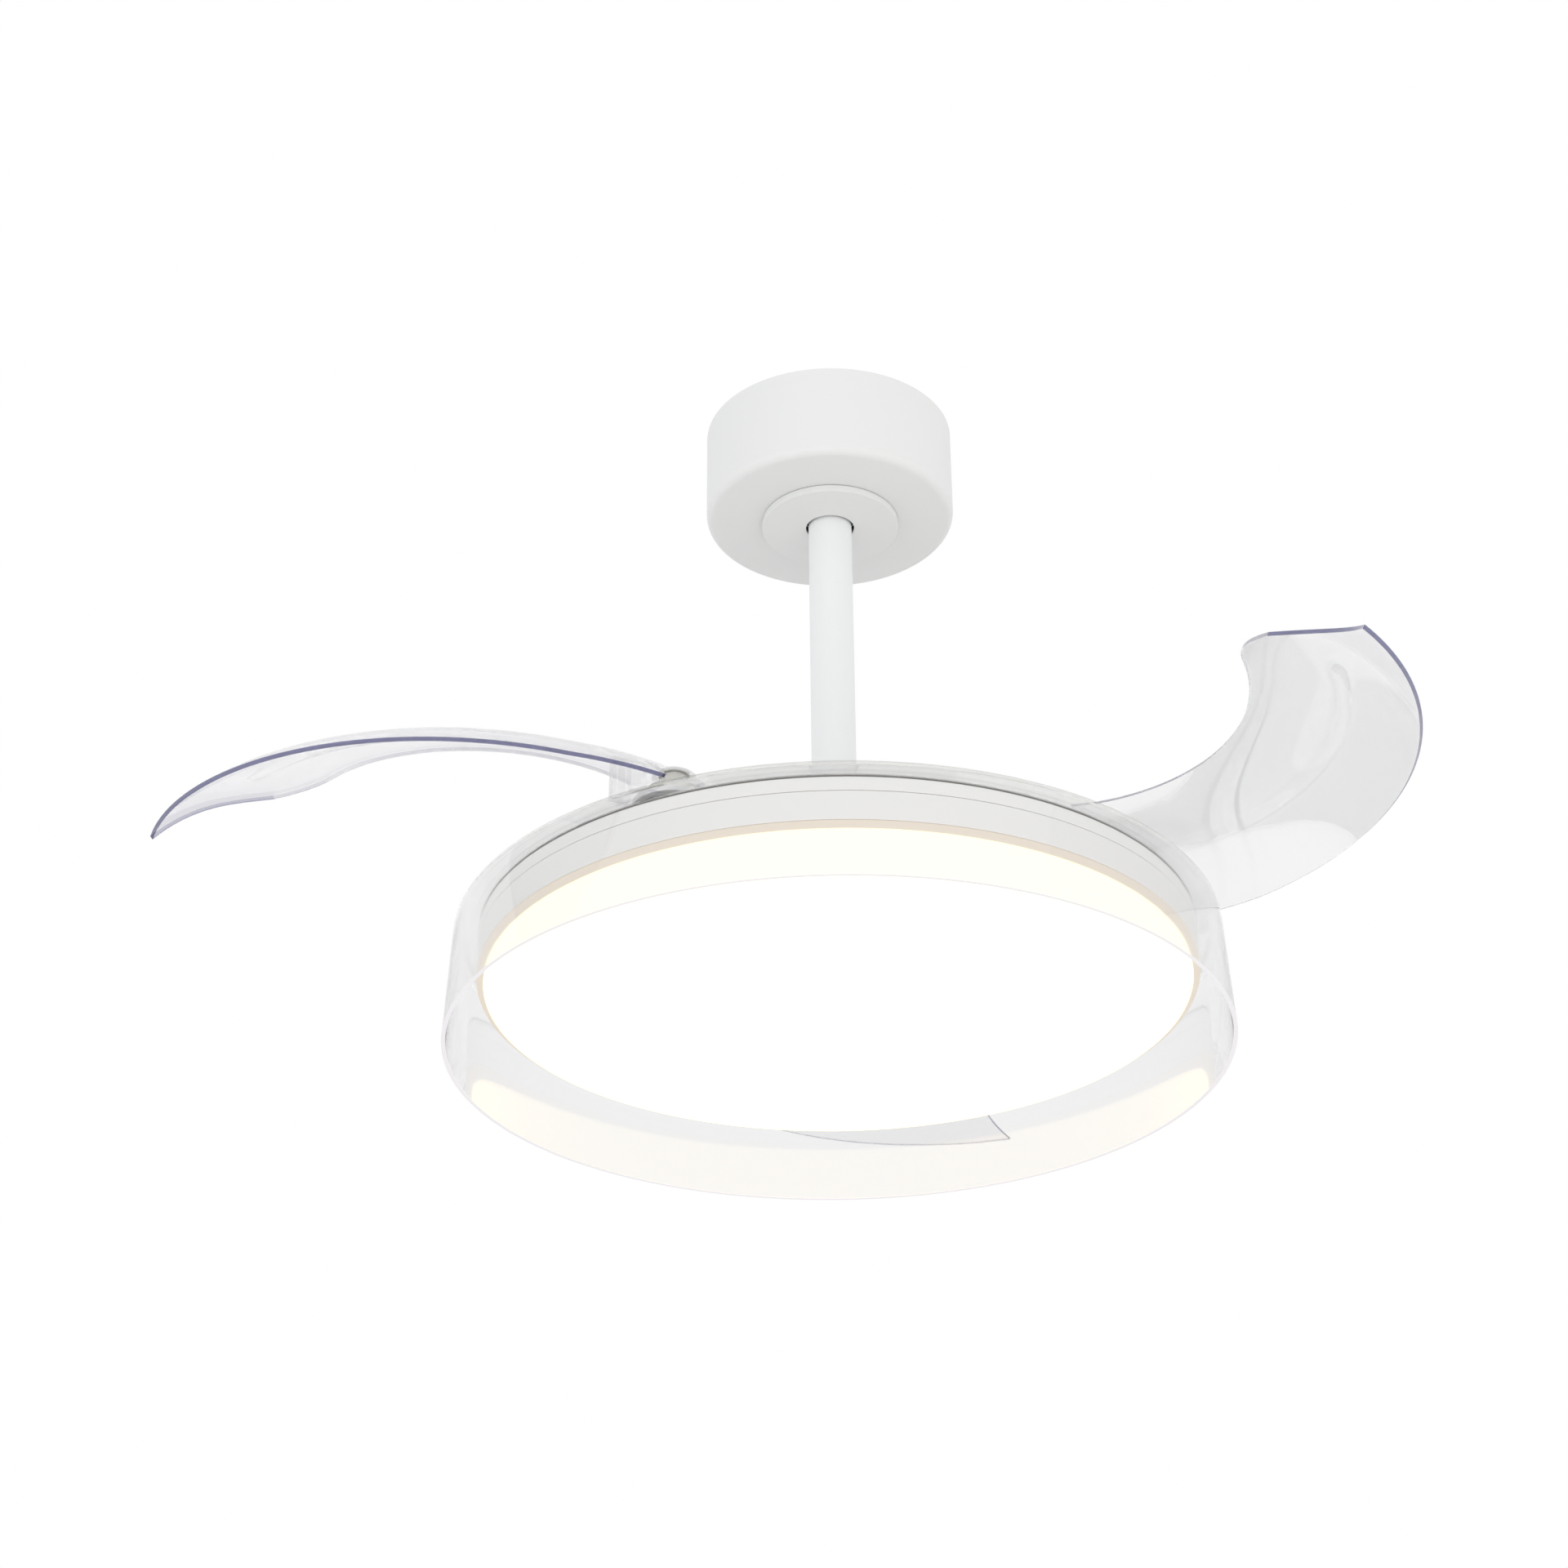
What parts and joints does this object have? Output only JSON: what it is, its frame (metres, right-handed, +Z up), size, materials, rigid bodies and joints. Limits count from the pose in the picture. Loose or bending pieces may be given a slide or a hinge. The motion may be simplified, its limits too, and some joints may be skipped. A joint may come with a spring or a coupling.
{
  "type": "retractable blade ceiling fan",
  "caption": "Ceiling fan with clear curved blades that swing out over a round LED ceiling light under a clear shade, hung on a ball-jointed downrod.",
  "frame": {"origin": "centre of the ceiling bracket's top face, on the ceiling plane and the fan's axis", "axes": "+Z up along the fan's axis, +X to the right and +Y away from the viewer in the picture"},
  "size_m": [0.6973, 0.6695, 0.424],
  "materials": {
    "white_paint": "satin white paint",
    "white_casing": "moulded, satin white",
    "clear_plastic": "polished, clear with a cool grey edge",
    "opal_plastic": "smooth opal, lit from behind",
    "white_plastic": "moulded, fine matt",
    "black_rubber": "matt",
    "grey_rubber": "soft, matt",
    "zinc_steel": "zinc-plated sheet",
    "bright_steel": "turned, bright",
    "cast_aluminium": "cast and turned",
    "core_steel": "laminated, dark",
    "copper_wire": "enamelled copper",
    "ferrite": "sintered, matt dark grey"
  },
  "bodies": {
    "ceiling_mount": {"ceiling_bracket": "zinc_steel", "canopy_shell": "white_paint", "canopy_trim": "white_paint", "canopy_screw_1": "bright_steel", "canopy_screw_2": "bright_steel", "receiver_box": "white_plastic", "terminal_block": "white_plastic"},
    "hanger": {"hanger_ball": "black_rubber", "hanger_pin": "bright_steel"},
    "hung_frame": {"downrod": "white_paint", "rod_coupler": "zinc_steel", "coupler_pin": "bright_steel", "coupler_cover": "white_casing", "motor_shaft": "bright_steel", "stator_core": "core_steel", "stator_winding": "copper_wire", "lower_bearing": "bright_steel", "upper_bearing": "bright_steel", "lamp_plate": "zinc_steel", "lamp_nut": "zinc_steel", "lamp_pan": "white_casing", "lamp_ring": "white_casing", "led_board": "cast_aluminium", "led_driver": "white_plastic", "lamp_diffuser": "opal_plastic", "clear_shade": "clear_plastic", "shade_seal": "grey_rubber", "shade_screw_1": "bright_steel", "shade_screw_2": "bright_steel", "shade_screw_3": "bright_steel"},
    "rotor": {"motor_housing": "cast_aluminium", "motor_lid": "cast_aluminium", "magnet_ring": "ferrite", "rotor_cover": "white_casing", "blade_carrier": "cast_aluminium", "rotor_screw_1": "bright_steel", "rotor_screw_2": "bright_steel", "rotor_screw_3": "bright_steel", "ring_keeper_1": "zinc_steel", "ring_keeper_2": "zinc_steel", "ring_keeper_3": "zinc_steel", "pivot_pin_1": "bright_steel", "pivot_pin_2": "bright_steel", "pivot_pin_3": "bright_steel", "stop_block_1": "white_plastic", "stop_block_2": "white_plastic", "stop_block_3": "white_plastic", "return_spring_1": "bright_steel", "return_spring_2": "bright_steel", "return_spring_3": "bright_steel"},
    "sync_ring": {"sync_ring": "white_plastic"},
    "blade_1": {"blade_1": "clear_plastic", "blade_pinion_1": "white_plastic", "pivot_bush_1": "white_plastic"},
    "blade_2": {"blade_2": "clear_plastic", "blade_pinion_2": "white_plastic", "pivot_bush_2": "white_plastic"},
    "blade_3": {"blade_3": "clear_plastic", "blade_pinion_3": "white_plastic", "pivot_bush_3": "white_plastic"}
  },
  "joints": [
    {"name": "hanger_swing_x", "type": "hinge", "parent": "ceiling_mount", "child": "hanger", "pos_m": [0, 0, -0.04123], "axis": [1, 0, 0], "range_deg": [-2, 2]},
    {"name": "hanger_swing_y", "type": "hinge", "parent": "hanger", "child": "hung_frame", "pos_m": [0, 0, -0.04123], "axis": [0, 1, 0], "range_deg": [-2, 2]},
    {"name": "rotor_spin", "type": "hinge", "parent": "hung_frame", "child": "rotor", "pos_m": [0, 0, -0.326], "axis": [0, 0, 1], "continuous": true},
    {"name": "blade_1_fold", "type": "hinge", "parent": "rotor", "child": "blade_1", "pos_m": [0.18436, 0.00724, -0.341], "axis": [0, 0, 1], "range_deg": [-67.6, 0]},
    {"name": "blade_2_fold", "type": "hinge", "parent": "rotor", "child": "blade_2", "pos_m": [-0.09845, 0.15604, -0.341], "axis": [0, 0, 1], "range_deg": [-67.6, 0]},
    {"name": "blade_3_fold", "type": "hinge", "parent": "rotor", "child": "blade_3", "pos_m": [-0.08591, -0.16328, -0.341], "axis": [0, 0, 1], "range_deg": [-67.6, 0]},
    {"name": "sync_ring_turn", "type": "hinge", "parent": "rotor", "child": "sync_ring", "pos_m": [0, 0, -0.347], "axis": [0, 0, 1], "range_deg": [0, 7.31]}
  ],
  "couplings": [
    {"joint": "blade_2_fold", "follows": "blade_1_fold", "ratio": 1},
    {"joint": "blade_3_fold", "follows": "blade_1_fold", "ratio": 1},
    {"joint": "sync_ring_turn", "follows": "blade_1_fold", "ratio": -0.10811}
  ]
}
